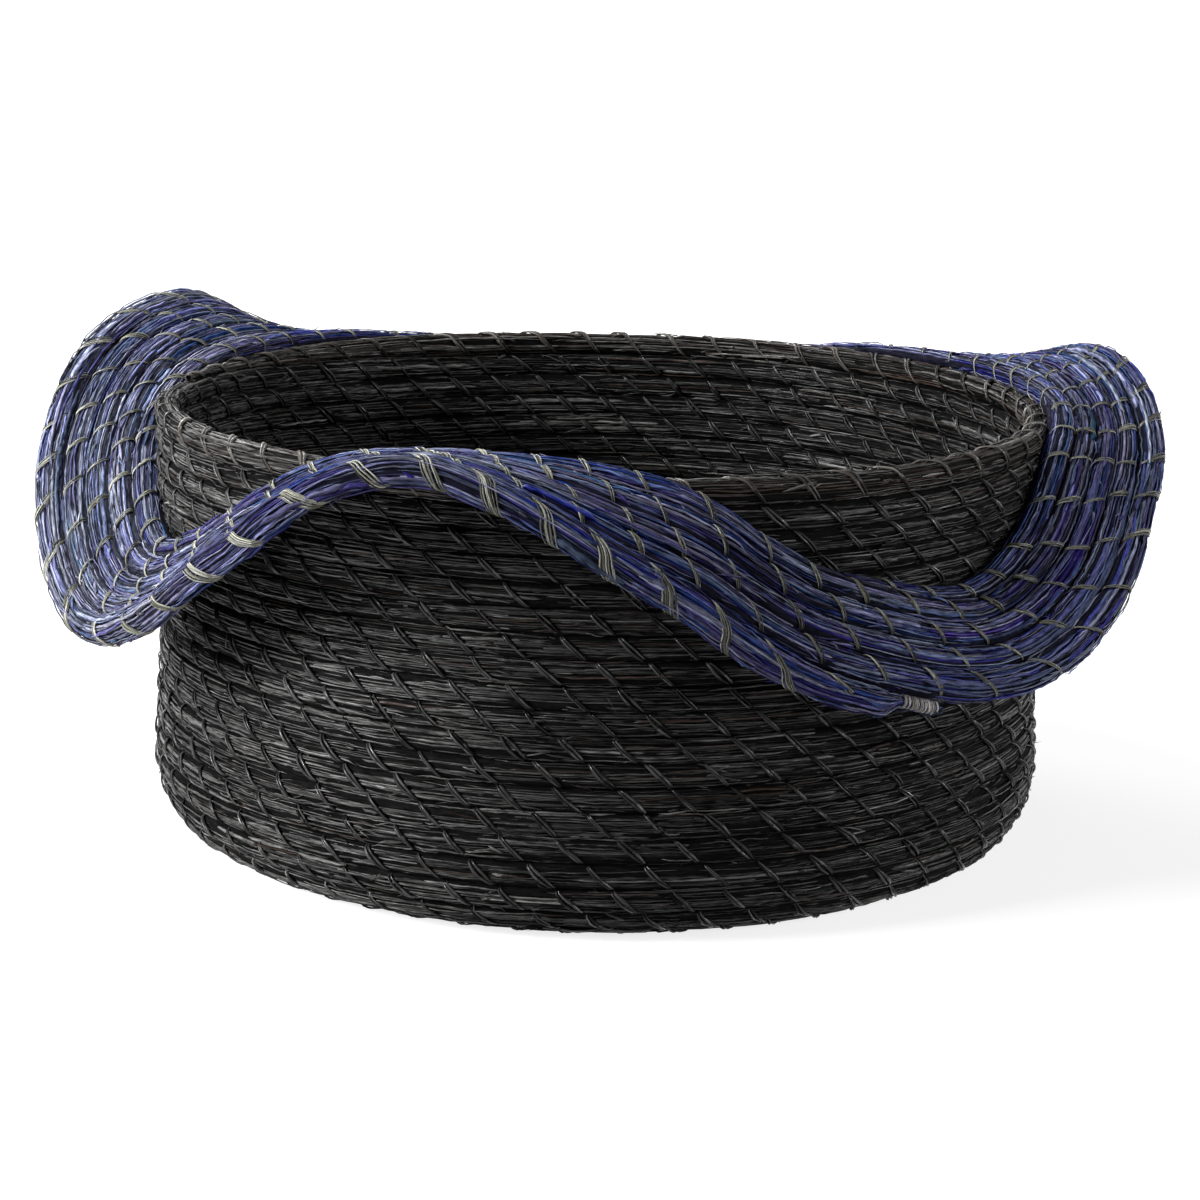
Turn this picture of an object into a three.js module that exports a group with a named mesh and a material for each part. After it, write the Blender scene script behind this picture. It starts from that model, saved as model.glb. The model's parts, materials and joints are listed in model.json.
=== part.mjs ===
import * as THREE from 'three';

// Round basket of coiled grass with a wavy brim. Millimetres, +Z up.
// The origin is the middle of the underside. An angle of 0 is +X, and angles grow towards +Y.
//
// A black bundle of grass is wound and stitched into floor, wall and rim.
// A blue bundle is stitched to the outside of the rim and wound outwards as a brim,
// which rises and drops three times on its way round. Its tail ends in a thread whipping.
// Rounds of one bundle are level and step to the next round on a short ramp,
// where the first round starts thin and the last one tapers away.

// Black bundle
const coilDiameter = 8.9;
const leastStitchGap = 0.55;
const wallSteps = 24;
const wallStartAngle = 200;
const wallRampSteps = 6;

// Wall outline, from the rim down to the floor, through the middle of the bundle
const rimRadius = 178;
const rimHeight = 170.5;
const waistRadius = 176.2;
const waistTop = 120;
const waistBottom = 75;
const heelRadius = 179.4;
const heelHeight = 38;
const heelTopRoundness = 18;
const heelFloorRoundness = 20;
const heelInnerRadius = 156.5;
const firstRoundInset = 8.5;

// Floor
const floorThickness = 7.6;
const floorEdgeRound = 1.2;
const floorSides = 72;

// Blue bundle
const brimDiameter = 9.1;
const outerRoundDiameter = 11;
const brimGap = 0.9;
const brimRounds = 5;
const brimSteps = 36;
const brimStartAngle = -22;
const brimRampSteps = 6;
const tailRampSteps = 3;
const crestRise = 7;

// How far the brim's first round drops from its highest place, by angle
const drops = [
  { angle: -178, value: 27 },
  { angle: -158, value: 54 },
  { angle: -143, value: 41.5 },
  { angle: -130, value: 17 },
  { angle: -119, value: 1.5 },
  { angle: -108, value: -2.3 },
  { angle: -99, value: -2.3 },
  { angle: -90, value: 0 },
  { angle: -80, value: 9 },
  { angle: -70, value: 30 },
  { angle: -62, value: 41 },
  { angle: -42, value: 54 },
  { angle: -28, value: 38.5 },
  { angle: -15, value: 10.5 },
  { angle: 5, value: -1 },
  { angle: 40, value: 2 },
  { angle: 58, value: 8 },
  { angle: 79, value: 21 },
  { angle: 120, value: 6 },
  { angle: 155, value: 1 },
];

// How steeply the brim leaves the rim, by angle, in degrees above level
const slopes = [
  { angle: -172, value: -23 },
  { angle: -150, value: -43 },
  { angle: -128, value: -30.5 },
  { angle: -117, value: -6 },
  { angle: -109, value: 6 },
  { angle: -101, value: 0 },
  { angle: -94, value: -15 },
  { angle: -87, value: -33 },
  { angle: -79, value: -49 },
  { angle: -65, value: -55 },
  { angle: -51, value: -53 },
  { angle: -35, value: -41 },
  { angle: -15, value: -40 },
  { angle: 17, value: 9 },
  { angle: 54, value: -43 },
  { angle: 86, value: -59 },
  { angle: 125, value: -22 },
  { angle: 150, value: 24 },
];

// Tail and its whipping
const tailDiameter = 4.2;
const tailLift = 2.4;
const whippingLength = 14;
const whippingThickness = 0.7;
const whippingClearance = 0.4;
const tailTip = 2;

// Clearance between separate pieces
const pieceGap = 0.4;

const sides = 6;
const brimPitch = brimDiameter + brimGap;
const up = new THREE.Vector3(0, 0, 1);

const blackGrass = new THREE.MeshStandardMaterial({ color: 0x26272a, roughness: 0.85, metalness: 0 });
const rimGrass = new THREE.MeshStandardMaterial({ color: 0x3b342f, roughness: 0.85, metalness: 0 });
const blueGrass = new THREE.MeshStandardMaterial({ color: 0x2d2f66, roughness: 0.75, metalness: 0 });
const whippingThread = new THREE.MeshStandardMaterial({ color: 0x4a484c, roughness: 0.5, metalness: 0 });

function outward(degrees) {
  const angle = THREE.MathUtils.degToRad(degrees);
  return new THREE.Vector3(Math.cos(angle), Math.sin(angle), 0);
}

function easing(share) {
  return 0.5 - 0.5 * Math.cos(Math.PI * THREE.MathUtils.clamp(share, 0, 1));
}

// Rounds passed at a count of turns: level, then a ramp at the end of each turn
function roundAt(turns, rampShare) {
  const whole = Math.floor(turns);
  return whole + easing((turns - whole - 1 + rampShare) / rampShare);
}

// A six-sided tube through rings, each with its middle, its direction to the next round and its radius
function tube(rings) {
  const positions = [];
  const indices = [];
  rings.forEach((ring, index) => {
    const before = rings[Math.max(index - 1, 0)].middle;
    const after = rings[Math.min(index + 1, rings.length - 1)].middle;
    const along = after.clone().sub(before).normalize();
    const across = ring.across.clone().addScaledVector(along, -ring.across.dot(along)).normalize();
    const normal = along.clone().cross(across);
    for (let side = 0; side < sides; side += 1) {
      const angle = (2 * Math.PI * side) / sides;
      const point = ring.middle.clone();
      point.addScaledVector(across, ring.radius * Math.cos(angle));
      point.addScaledVector(normal, ring.radius * Math.sin(angle));
      positions.push(point.x, point.y, point.z);
    }
  });
  for (let index = 0; index < rings.length - 1; index += 1) {
    for (let side = 0; side < sides; side += 1) {
      const next = (side + 1) % sides;
      const a = index * sides + side;
      const b = index * sides + next;
      const c = a + sides;
      const d = b + sides;
      indices.push(a, b, d, a, d, c);
    }
  }
  const last = (rings.length - 1) * sides;
  for (let side = 1; side < sides - 1; side += 1) {
    indices.push(0, side + 1, side);
    indices.push(last, last + side, last + side + 1);
  }
  const geometry = new THREE.BufferGeometry();
  geometry.setAttribute('position', new THREE.Float32BufferAttribute(positions, 3));
  geometry.setIndex(indices);
  return geometry;
}

// Wall outline as radius and height
const rimPoint = new THREE.Vector2(rimRadius, rimHeight);
const waistTopPoint = new THREE.Vector2(waistRadius, waistTop);
const waistBottomPoint = new THREE.Vector2(waistRadius, waistBottom);
const heelPoint = new THREE.Vector2(heelRadius, heelHeight);
const heelDirection = heelPoint.clone().sub(waistBottomPoint).normalize();
const heelTopPoint = heelPoint.clone().addScaledVector(heelDirection, heelTopRoundness);
const heelEnd = new THREE.Vector2(heelInnerRadius, coilDiameter / 2);
const heelFloorPoint = new THREE.Vector2(heelInnerRadius + heelFloorRoundness, coilDiameter / 2);
const outline = new THREE.CurvePath();
outline.add(new THREE.CubicBezierCurve(rimPoint, waistTopPoint, waistBottomPoint, heelPoint));
outline.add(new THREE.CubicBezierCurve(heelPoint, heelTopPoint, heelFloorPoint, heelEnd));
const outlineLength = outline.getLength();

// Rounds of the wall, evenly spaced from the heel to the rim
const wallClimb = outlineLength - firstRoundInset;
const wallRounds = 1 + Math.floor(wallClimb / (coilDiameter + leastStitchGap));
const coilPitch = wallClimb / (wallRounds - 1);
const stitchGap = coilPitch - coilDiameter;

function outlineAt(round) {
  const share = ((wallRounds - 1 - round) * coilPitch) / outlineLength;
  return outline.getPointAt(THREE.MathUtils.clamp(share, 0, 1));
}

// Wall radius at a height, for what is stitched to its outside, found by halving
const halvings = 20;

function wallRadiusAt(height) {
  let low = 0;
  let high = wallRounds - 1;
  for (let halving = 0; halving < halvings; halving += 1) {
    const middle = (low + high) / 2;
    if (outlineAt(middle).y < height) {
      low = middle;
    } else {
      high = middle;
    }
  }
  return outlineAt(low).x;
}

// One station of the wall's winding, set square to the outline with a point a little below it
const probeRounds = 0.1;

function wallStation(step) {
  const rampShare = wallRampSteps / wallSteps;
  const turns = step / wallSteps;
  let round = roundAt(turns, rampShare);
  let radius = coilDiameter / 2;
  if (turns < 0) {
    const risen = round + 1;
    radius = (coilPitch * risen - stitchGap) / 2;
    round = -0.5 + (stitchGap / 2 + radius) / coilPitch;
  }
  if (turns > wallRounds - rampShare) {
    const risen = round - (wallRounds - 1);
    radius = (coilPitch * (1 - risen) - stitchGap) / 2;
    round = wallRounds - 0.5 - (stitchGap / 2 + radius) / coilPitch;
  }
  const place = outlineAt(Math.min(round, wallRounds - 1));
  const rise = Math.max(round - (wallRounds - 1), 0) * coilPitch;
  const below = outlineAt(Math.min(round, wallRounds - 1) - probeRounds);
  const direction = outward(wallStartAngle + 360 * turns);
  const middle = direction.clone().multiplyScalar(place.x).addScaledVector(up, place.y + rise);
  const across = direction.clone().multiplyScalar(place.x - below.x).addScaledVector(up, place.y - below.y);
  return { middle, across: across.normalize(), radius };
}

// A ring anywhere on the winding: stations are joined by straight runs
function wallRing(step) {
  const from = wallStation(Math.floor(step));
  const to = wallStation(Math.ceil(step));
  const share = step - Math.floor(step);
  const middle = from.middle.clone().lerp(to.middle, share);
  const across = from.across.clone().lerp(to.across, share);
  const radius = THREE.MathUtils.lerp(from.radius, to.radius, share);
  return { middle, across, radius };
}

function wallRings(firstStep, lastStep) {
  const rings = [wallRing(firstStep)];
  for (let step = Math.floor(firstStep) + 1; step < lastStep; step += 1) {
    rings.push(wallRing(step));
  }
  rings.push(wallRing(lastStep));
  return rings;
}

// Value at an angle, on a smooth closed curve through the stations
function waveAt(stations, degrees) {
  const count = stations.length;
  const station = (index) => {
    const lap = Math.floor(index / count);
    const { angle, value } = stations[index - lap * count];
    return new THREE.Vector2(angle + 360 * lap, value);
  };
  const angle = stations[0].angle + THREE.MathUtils.euclideanModulo(degrees - stations[0].angle, 360);
  let index = 0;
  while (station(index + 1).x < angle) {
    index += 1;
  }
  const before = station(index - 1);
  const from = station(index);
  const to = station(index + 1);
  const after = station(index + 2);
  const span = to.x - from.x;
  const share = (angle - from.x) / span;
  const fromTangent = (span * (to.y - before.y)) / (to.x - before.x);
  const toTangent = (span * (after.y - from.y)) / (after.x - from.x);
  const cubed = 2 * (from.y - to.y) + fromTangent + toTangent;
  const squared = 3 * (to.y - from.y) - 2 * fromTangent - toTangent;
  return ((cubed * share + squared) * share + fromTangent) * share + from.y;
}

// Brim surface: its inner edge rolls round the rim's outside and down the wall,
// and every further line lies at an even distance from the one before it
const brimColumns = 2 * brimSteps;
const columnAngle = 360 / brimColumns;
const brimSagitta = rimRadius * (1 - Math.cos(Math.PI / brimSteps));
const brimSeat = (coilDiameter + brimDiameter) / 2 + brimSagitta + pieceGap;
const lineSpacing = 1;
const brimReach = brimPitch * brimRounds + outerRoundDiameter;

function brimEdgePoint(degrees) {
  const rise = crestRise - waveAt(drops, degrees);
  const height = rimHeight + rise;
  const offset = Math.sqrt(brimSeat ** 2 - Math.max(rise, 0) ** 2);
  const radius = wallRadiusAt(Math.min(height, rimHeight)) + offset;
  return outward(degrees).multiplyScalar(radius).addScaledVector(up, height);
}

function brimLines() {
  const first = [];
  const leaving = [];
  for (let column = 0; column < brimColumns; column += 1) {
    const degrees = brimStartAngle + column * columnAngle;
    const slope = THREE.MathUtils.degToRad(waveAt(slopes, degrees));
    first.push(brimEdgePoint(degrees));
    leaving.push(outward(degrees).multiplyScalar(Math.cos(slope)).addScaledVector(up, Math.sin(slope)));
  }
  const lines = [first];
  for (let distance = 0; distance < brimReach; distance += lineSpacing) {
    const line = lines[lines.length - 1];
    lines.push(line.map((point, column) => {
      const before = line[(column + brimColumns - 1) % brimColumns];
      const after = line[(column + 1) % brimColumns];
      const along = after.clone().sub(before).normalize();
      const across = leaving[column].clone();
      across.addScaledVector(along, -across.dot(along)).normalize();
      return point.clone().addScaledVector(across, lineSpacing);
    }));
  }
  return lines;
}

const lines = brimLines();

function brimPoint(column, distance) {
  const wrapped = THREE.MathUtils.euclideanModulo(column, brimColumns);
  const line = THREE.MathUtils.clamp(Math.floor(distance / lineSpacing), 0, lines.length - 2);
  const share = distance / lineSpacing - line;
  return lines[line][wrapped].clone().lerp(lines[line + 1][wrapped], share);
}

// Distance and radius of the brim's winding at a count of rounds; the last round is thicker
function brimRound(round) {
  const outerRound = brimRounds - 1;
  const swell = THREE.MathUtils.clamp(round - outerRound + 1, 0, 1);
  const outerPitch = (brimDiameter + outerRoundDiameter) / 2 + brimGap;
  const distance = Math.min(round, outerRound - 1) * brimPitch + swell * outerPitch;
  return { distance, radius: THREE.MathUtils.lerp(brimDiameter, outerRoundDiameter, swell) / 2 };
}

// One station of the brim's winding
const tailStartStep = brimRounds * brimSteps - brimRampSteps;

function brimStation(step) {
  const rampShare = brimRampSteps / brimSteps;
  const turns = step / brimSteps;
  const round = roundAt(turns, rampShare);
  let { distance, radius } = brimRound(Math.min(round, brimRounds - 1));
  if (turns < 0) {
    radius = (brimPitch * (round + 1) - brimGap) / 2;
    distance = radius - brimDiameter / 2;
  }
  if (turns > brimRounds - rampShare) {
    const share = (step - tailStartStep) / tailRampSteps;
    const under = brimRound(round - 1);
    radius = THREE.MathUtils.lerp(outerRoundDiameter, tailDiameter, share ** 2) / 2;
    distance = under.distance + under.radius + THREE.MathUtils.lerp(brimGap, tailLift, share) + radius;
  }
  const middle = brimPoint(2 * step, distance);
  const across = brimPoint(2 * step, distance + lineSpacing).sub(brimPoint(2 * step, distance));
  return { middle, across: across.normalize(), radius };
}

function brimRings(firstStep, lastStep) {
  const rings = [];
  for (let step = firstStep; step <= lastStep; step += 1) {
    rings.push(brimStation(step));
  }
  return rings;
}

// Least gap of a winding to itself, on points more than half a round apart
const samplesPerRun = 4;

function leastGap(rings, steps) {
  const samples = [];
  for (let index = 0; index < rings.length - 1; index += 1) {
    for (let part = 0; part < samplesPerRun; part += 1) {
      const share = part / samplesPerRun;
      const middle = rings[index].middle.clone().lerp(rings[index + 1].middle, share);
      const radius = THREE.MathUtils.lerp(rings[index].radius, rings[index + 1].radius, share);
      samples.push({ middle, radius });
    }
  }
  let least = Infinity;
  for (let one = 0; one < samples.length; one += 1) {
    for (let other = one + (steps * samplesPerRun) / 2; other < samples.length; other += 1) {
      const distance = samples[one].middle.distanceTo(samples[other].middle);
      least = Math.min(least, distance - samples[one].radius - samples[other].radius);
    }
  }
  return least;
}

// Thin start of the wall's winding, a third of the way up its ramp, and tail, two thirds of the way up
const wallTipSteps = (2 * wallRampSteps) / 3;
const rimTipSteps = wallRampSteps / 3;
const rimJointStep = (wallRounds - 1) * wallSteps + 0.5;
const rimStepLength = (2 * Math.PI * rimRadius) / wallSteps;
const halfJoint = pieceGap / 2 / rimStepLength;
const wallCoilRings = wallRings(-wallTipSteps, rimJointStep - halfJoint);
const rimCoilRings = wallRings(rimJointStep + halfJoint, wallRounds * wallSteps - rimTipSteps);
const brimTipSteps = (2 * brimRampSteps) / 3;
const brimCoilRings = brimRings(-brimTipSteps, tailStartStep + tailRampSteps);

console.log('least gap of wall_coil to itself, mm:', leastGap(wallCoilRings, wallSteps).toFixed(3));
console.log('least gap of rim_coil to itself, mm:', leastGap(rimCoilRings, wallSteps).toFixed(3));
console.log('least gap of brim_coil to itself, mm:', leastGap(brimCoilRings, brimSteps).toFixed(3));

// Floor: a plain disc inside the first round, with a rounded edge
function floorGeometry() {
  const firstRound = outlineAt(0);
  const sagittaFactor = Math.cos(Math.PI / wallSteps);
  const radius = firstRound.x * sagittaFactor - coilDiameter / 2 - pieceGap;
  const profile = [
    new THREE.Vector2(0, 0),
    new THREE.Vector2(radius - floorEdgeRound, 0),
    new THREE.Vector2(radius, floorEdgeRound),
    new THREE.Vector2(radius, floorThickness - floorEdgeRound),
    new THREE.Vector2(radius - floorEdgeRound, floorThickness),
    new THREE.Vector2(0, floorThickness),
  ];
  const geometry = new THREE.LatheGeometry(profile, floorSides);
  geometry.rotateX(Math.PI / 2);
  return geometry;
}

// Whipping: a six-sided sleeve round the end of the tail
function hexagon(radius) {
  const points = [];
  for (let side = 0; side < sides; side += 1) {
    const angle = (2 * Math.PI * side) / sides;
    points.push(new THREE.Vector2(radius * Math.cos(angle), radius * Math.sin(angle)));
  }
  return points;
}

function whippingMesh() {
  const end = brimCoilRings[brimCoilRings.length - 1];
  const before = brimCoilRings[brimCoilRings.length - 2];
  const along = end.middle.clone().sub(before.middle).normalize();
  const across = end.across.clone().addScaledVector(along, -end.across.dot(along)).normalize();
  const normal = along.clone().cross(across);
  const runLength = end.middle.distanceTo(before.middle);
  const backShare = (whippingLength + tailTip) / runLength;
  const backRadius = THREE.MathUtils.lerp(end.radius, before.radius, backShare);
  const bore = backRadius + whippingClearance;
  const shape = new THREE.Shape(hexagon(bore + whippingThickness));
  shape.holes.push(new THREE.Path(hexagon(bore)));
  const geometry = new THREE.ExtrudeGeometry(shape, { depth: whippingLength, bevelEnabled: false });
  const mesh = new THREE.Mesh(geometry, whippingThread);
  const foot = end.middle.clone().addScaledVector(along, -whippingLength - tailTip);
  mesh.quaternion.setFromRotationMatrix(new THREE.Matrix4().makeBasis(across, normal, along));
  mesh.position.copy(foot);
  return mesh;
}

const basket = new THREE.Group();

function addPiece(name, mesh) {
  mesh.name = name;
  basket.add(mesh);
}

addPiece('floor_coil', new THREE.Mesh(floorGeometry(), blackGrass));
addPiece('wall_coil', new THREE.Mesh(tube(wallCoilRings), blackGrass));
addPiece('rim_coil', new THREE.Mesh(tube(rimCoilRings), rimGrass));
addPiece('brim_coil', new THREE.Mesh(tube(brimCoilRings), blueGrass));
addPiece('tail_whipping', whippingMesh());

export default basket;
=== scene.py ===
import copy
import functools
import json
import math

import bpy
import numpy as np
from bpy.props import FloatProperty, FloatVectorProperty, IntProperty, PointerProperty
from mathutils import Matrix, Vector

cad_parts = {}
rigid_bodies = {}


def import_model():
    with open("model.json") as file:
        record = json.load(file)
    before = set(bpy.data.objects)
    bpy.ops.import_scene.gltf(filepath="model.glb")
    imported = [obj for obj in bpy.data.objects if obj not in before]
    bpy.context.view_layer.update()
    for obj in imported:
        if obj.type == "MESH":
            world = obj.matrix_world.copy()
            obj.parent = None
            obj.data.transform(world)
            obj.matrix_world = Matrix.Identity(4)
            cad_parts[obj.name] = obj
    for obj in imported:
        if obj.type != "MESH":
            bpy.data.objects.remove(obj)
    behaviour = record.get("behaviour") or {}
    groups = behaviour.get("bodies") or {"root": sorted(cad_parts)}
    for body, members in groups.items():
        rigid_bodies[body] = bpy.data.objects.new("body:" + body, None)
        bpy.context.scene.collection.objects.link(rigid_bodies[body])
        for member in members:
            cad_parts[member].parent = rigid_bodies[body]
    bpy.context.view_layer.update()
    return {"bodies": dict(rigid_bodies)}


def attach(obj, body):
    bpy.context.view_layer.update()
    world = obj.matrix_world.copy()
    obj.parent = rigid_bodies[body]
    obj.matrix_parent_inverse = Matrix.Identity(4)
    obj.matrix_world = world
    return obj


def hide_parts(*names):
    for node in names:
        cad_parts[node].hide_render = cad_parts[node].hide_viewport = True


bl_info = {
    "name": "Coiled Grass Basket",
    "version": (1, 0, 0),
    "blender": (4, 5, 0),
    "location": "View3D > Sidebar > Basket",
    "description": "Lays grass blades and stitching round the windings of a coiled basket",
    "category": "Add Mesh",
}

# The frame is in metres, +Z up, with the middle of the underside at the origin.
# An angle of 0 degrees is +X, and angles grow towards +Y. Places along a winding
# are counted in rounds: 0 is where the wall, or the brim, starts.
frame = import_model()
BODY = next(iter(frame["bodies"]))
MM = 0.001
UP = np.array((0, 0, 1.0))

# Black winding: rounds of floor, wall and rim, as the frame has them
COIL_DIAMETER = 8.9 * MM
WALL_ROUNDS = 19
FLOOR_ROUNDS = 17
FLOOR_START = 0.44  # rounds inside the floor's first whole round
FLOOR_TIP_TURNS = 0.7
FLOOR_TIP_SIZE = 0.85
SPIRAL_FROM = -6  # inwards of this the floor is an even spiral, without ramps
SPIRAL_BLEND = 4
WALL_START_ANGLE = 200
WALL_RAMP = 0.25
RIM_TAIL_TURNS = 1 / 12
FIRST_ROUND_INSET = 8.5 * MM
RIM_RADIUS = 178 * MM
RIM_HEIGHT = 170.5 * MM
WAIST_RADIUS = 176.2 * MM
WAIST_TOP = 120 * MM
WAIST_BOTTOM = 75 * MM
HEEL_RADIUS = 179.4 * MM
HEEL_HEIGHT = 38 * MM
HEEL_INNER_RADIUS = 156.5 * MM
HEEL_TOP_ROUNDNESS = 18 * MM
HEEL_FLOOR_ROUNDNESS = 20 * MM
HEART_OUTLINE = ((5.0, 1.5), (6.5, 4.5), (4.5, 7.0))  # radius and height in millimetres

# Blue winding: rounds of the brim
BRIM_DIAMETER = 9.1 * MM
OUTER_ROUND_DIAMETER = 11 * MM
BRIM_GAP = 0.9 * MM
BRIM_PITCH = BRIM_DIAMETER + BRIM_GAP
BRIM_ROUNDS = 5
BRIM_STEPS = 36
BRIM_START_ANGLE = -22
BRIM_RAMP = 1 / 6
BRIM_TAIL_TURNS = 1 / 12
BRIM_TIP_TURNS = 1 / 9
CREST_RISE = 7 * MM
PIECE_GAP = 0.4 * MM
TAIL_DIAMETER = 3.1 * MM
TAIL_LIFT = 3.4 * MM
WHIPPING_LENGTH = 15.5 * MM
WHIPPING_TURNS = 17
WHIPPING_THREAD_RADIUS = 0.37 * MM
TAIL_TIP = 2.8 * MM

# Bundles: how blades lie, and how stitches pull them in
SQUARENESS = 2.8
CINCH_REACH = 2.6 * MM
CINCH_BULGE = 0.25
RIM_CINCH = 0.07
LOOSE_SHARE = 0.35
SCRAP_SPACING = 5 * MM
SHORTEST_BLADE = 3 * MM
BLADE_WAVES = ((23 * MM, 1), (11 * MM, 7))  # length, and how its start varies by blade
BLADE_EDGES = (0.0, 1.0, 0.5)  # places across a blade: its two edges and its crest
SCRAP_RINGS = 5
STRAY_LENGTH = 9 * MM
CORE_SIDES = 14
CORE_SPACING = 4 * MM
CORE_DEPTH = 0.86
CORE_REACH = 1.04
TIGHT, LOOSE, SCRAP = range(3)

# A stitch's way round its bundle: degrees, and how far along the stitch it is there
WALL_LAP = ((28, 152, 208, 332, 388), (-0.24, 0.24, 0.26, 0.74, 0.76))
RIM_LAP = ((28, 152, 208, 332, 388), (-0.10, 0.24, 0.26, 0.64, 0.90))
BRIM_ADVANCE = 0.35
BRIM_LAP = ((200, 340, 430, 520, 560), (-0.175, 0.175, 0.375, 0.795, 0.825))
EDGE_LAP = ((200, 340, 430, 520, 560), (-0.175, 0.34, 0.62, 0.80, 0.825))
CROSSING = 1.7  # radians: a longer part of a lap crosses a face of the bundle in a straight line

# Samples of the lines
TURN_STEP = 0.0008
UPPER_POINTS = 300
LOWER_POINTS = 200
BRIM_COLUMNS = 2 * BRIM_STEPS
LINE_SPACING = 1 * MM

# How many pieces floor and wall are cut into, and the rounds at which the others are cut
FLOOR_PIECES = 3
WALL_PIECES = 9
BRIM_CUTS = (1.3, 2.6, 4)
WALL_STITCH_CUTS = (0, 6, 12)
BRIM_STITCH_CUTS = (2, 4)

# What lies lower than this is pressed by the basket's weight
PRESSED_BELOW = 1 * MM
PRESSED_SHARE = 0.4

# Lamps: place, size and power
LAMPS = {
    "key": ((-1.95, -0.9, 1.0), (0.8, 0.7), 78),
    "fill": ((2.1, -0.5, 0.5), (0.8, 0.8), 27),
    "top": ((-0.9, 0.1, 2.2), (0.8, 0.8), 55),
    "back": ((-0.8, 1.6, 1.5), (0.8, 0.8), 20),
}
LAMP_TARGET = Vector((0, 0, 0.1))
WORLD_LEVEL = 0.06
STAGE_RADIUS = 14.0
STAGE_LEVEL = -0.4 * MM
STAGE_SIDES = 64
SENSOR_WIDTH = 36
PICTURE_WIDTH = 1200
FOCAL_PIXELS = 3055
CAMERA_PLACE = Vector((0, -7 * RIM_RADIUS, 2.166 * RIM_RADIUS))
CAMERA_ANGLES = (13.39, 0.03, 1.18)  # down, left and round

# Painted highlight: places on X, in metres, between which the grass is painted paler, towards the side that
# the key lamp lights
BLACK_LIT_SIDE = (0.0, -0.08)
BLUE_LIT_SIDE = (-0.11, -0.2)

# How far the brim's first round drops from its highest place: degrees, millimetres
DROPS = (
    (-178, 27), (-158, 54), (-143, 41.5), (-130, 17), (-119, 1.5), (-108, -2.3),
    (-99, -2.3), (-90, 0), (-80, 9), (-70, 30), (-62, 41), (-42, 54), (-28, 38.5),
    (-15, 10.5), (5, -1), (40, 2), (58, 8), (79, 21), (120, 6), (155, 1),
)

# How steeply the brim leaves the rim: degrees round, degrees above level
SLOPES = (
    (-172, -23), (-150, -43), (-128, -30.5), (-117, -6), (-109, 6), (-101, 0), (-94, -15),
    (-87, -33), (-79, -49), (-65, -55), (-51, -53), (-35, -41), (-15, -40), (17, 9),
    (54, -43), (86, -59), (125, -22), (150, 24),
)


def length_property(name, description, default):
    return FloatProperty(name=name, description=description, default=default, unit="LENGTH")


def colour_property(name, description, default):
    return FloatVectorProperty(name=name, description=description, default=default, subtype="COLOR", size=3)


class BlackGrassSettings(bpy.types.PropertyGroup):
    """The black bundle of floor, wall and rim."""

    blades_around: IntProperty(
        name="Blades Around", description="Blades side by side round the bundle", default=38, min=8,
    )
    blade_length: length_property("Blade Length", "Mean length of a blade", 0.062)
    blade_width: length_property("Blade Width", "Mean width of a blade", 0.00072)
    cinch: FloatProperty(
        name="Cinch", description="Share of the bundle that a stitch pulls in", default=0.07,
    )
    stitches: FloatProperty(
        name="Stitches per Round", description="Stitches on one round of the wall", default=53.5,
    )
    colour: colour_property("Colour", "Usual blade", (0.009, 0.009, 0.0092))
    pale_colour: colour_property("Pale Colour", "Palest blade", (0.200, 0.198, 0.193))
    odd_colour: colour_property("Odd Colour", "Brown blade", (0.040, 0.026, 0.022))
    rim_colour: colour_property("Rim Colour", "Usual blade of the rim", (0.030, 0.026, 0.024))


class BlueGrassSettings(bpy.types.PropertyGroup):
    """The blue bundle of the brim."""

    blades_around: IntProperty(
        name="Blades Around", description="Blades side by side round the bundle", default=42, min=8,
    )
    blade_length: length_property("Blade Length", "Mean length of a blade", 0.080)
    blade_width: length_property("Blade Width", "Mean width of a blade", 0.00092)
    cinch: FloatProperty(
        name="Cinch", description="Share of the bundle that a stitch pulls in", default=0.11,
    )
    stitches: FloatProperty(
        name="Stitches per Round", description="Stitches on one round of the brim", default=57.0,
    )
    colour: colour_property("Colour", "Usual blade", (0.012, 0.018, 0.125))
    pale_colour: colour_property("Pale Colour", "Faded blade", (0.290, 0.322, 0.488))
    odd_colour: colour_property("Odd Colour", "Greener blade", (0.040, 0.085, 0.170))


class StitchSettings(bpy.types.PropertyGroup):
    """The strands that hold the rounds together."""

    wall_width: length_property("Wall Stitch Width", "Width in the middle of a stitch", 0.0023)
    rim_width: length_property("Rim Wrap Width", "Width on top of the rim", 0.0026)
    brim_width: length_property("Brim Stitch Width", "Width in the middle of a stitch", 0.0019)
    edge_width: length_property("Edge Stitch Width", "Width on the brim's outermost round", 0.0042)
    dark_colour: colour_property("Dark Strand", "Strand on the wall", (0.019, 0.019, 0.019))
    rim_colour: colour_property("Rim Strand", "Strand on the rim", (0.045, 0.041, 0.037))
    olive_colour: colour_property("Olive Strand", "Strand on the brim", (0.120, 0.120, 0.098))
    thread_colour: colour_property("Whipping Thread", "Thread round the tail", (0.330, 0.310, 0.300))


class StageSettings(bpy.types.PropertyGroup):
    """Floor, lamps and camera."""

    floor_colour: colour_property("Floor", "Floor and background", (0.40, 0.40, 0.40))
    lamp_level: FloatProperty(name="Lamp Level", description="Level of all lamps together", default=1.0)


# Middle lines of the windings


def ease(share):
    return 0.5 - 0.5 * np.cos(np.pi * np.clip(share, 0, 1))


def rounds_passed(turns, ramp):
    """Level rounds, each with a ramp to the next at the end of a turn."""
    whole = np.floor(turns)
    return whole + ease((turns - whole - 1 + ramp) / ramp)


def unit(vectors):
    return vectors / np.linalg.norm(vectors, axis=-1, keepdims=True)


def dot(one, other):
    return np.sum(one * other, axis=-1, keepdims=True)


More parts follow.
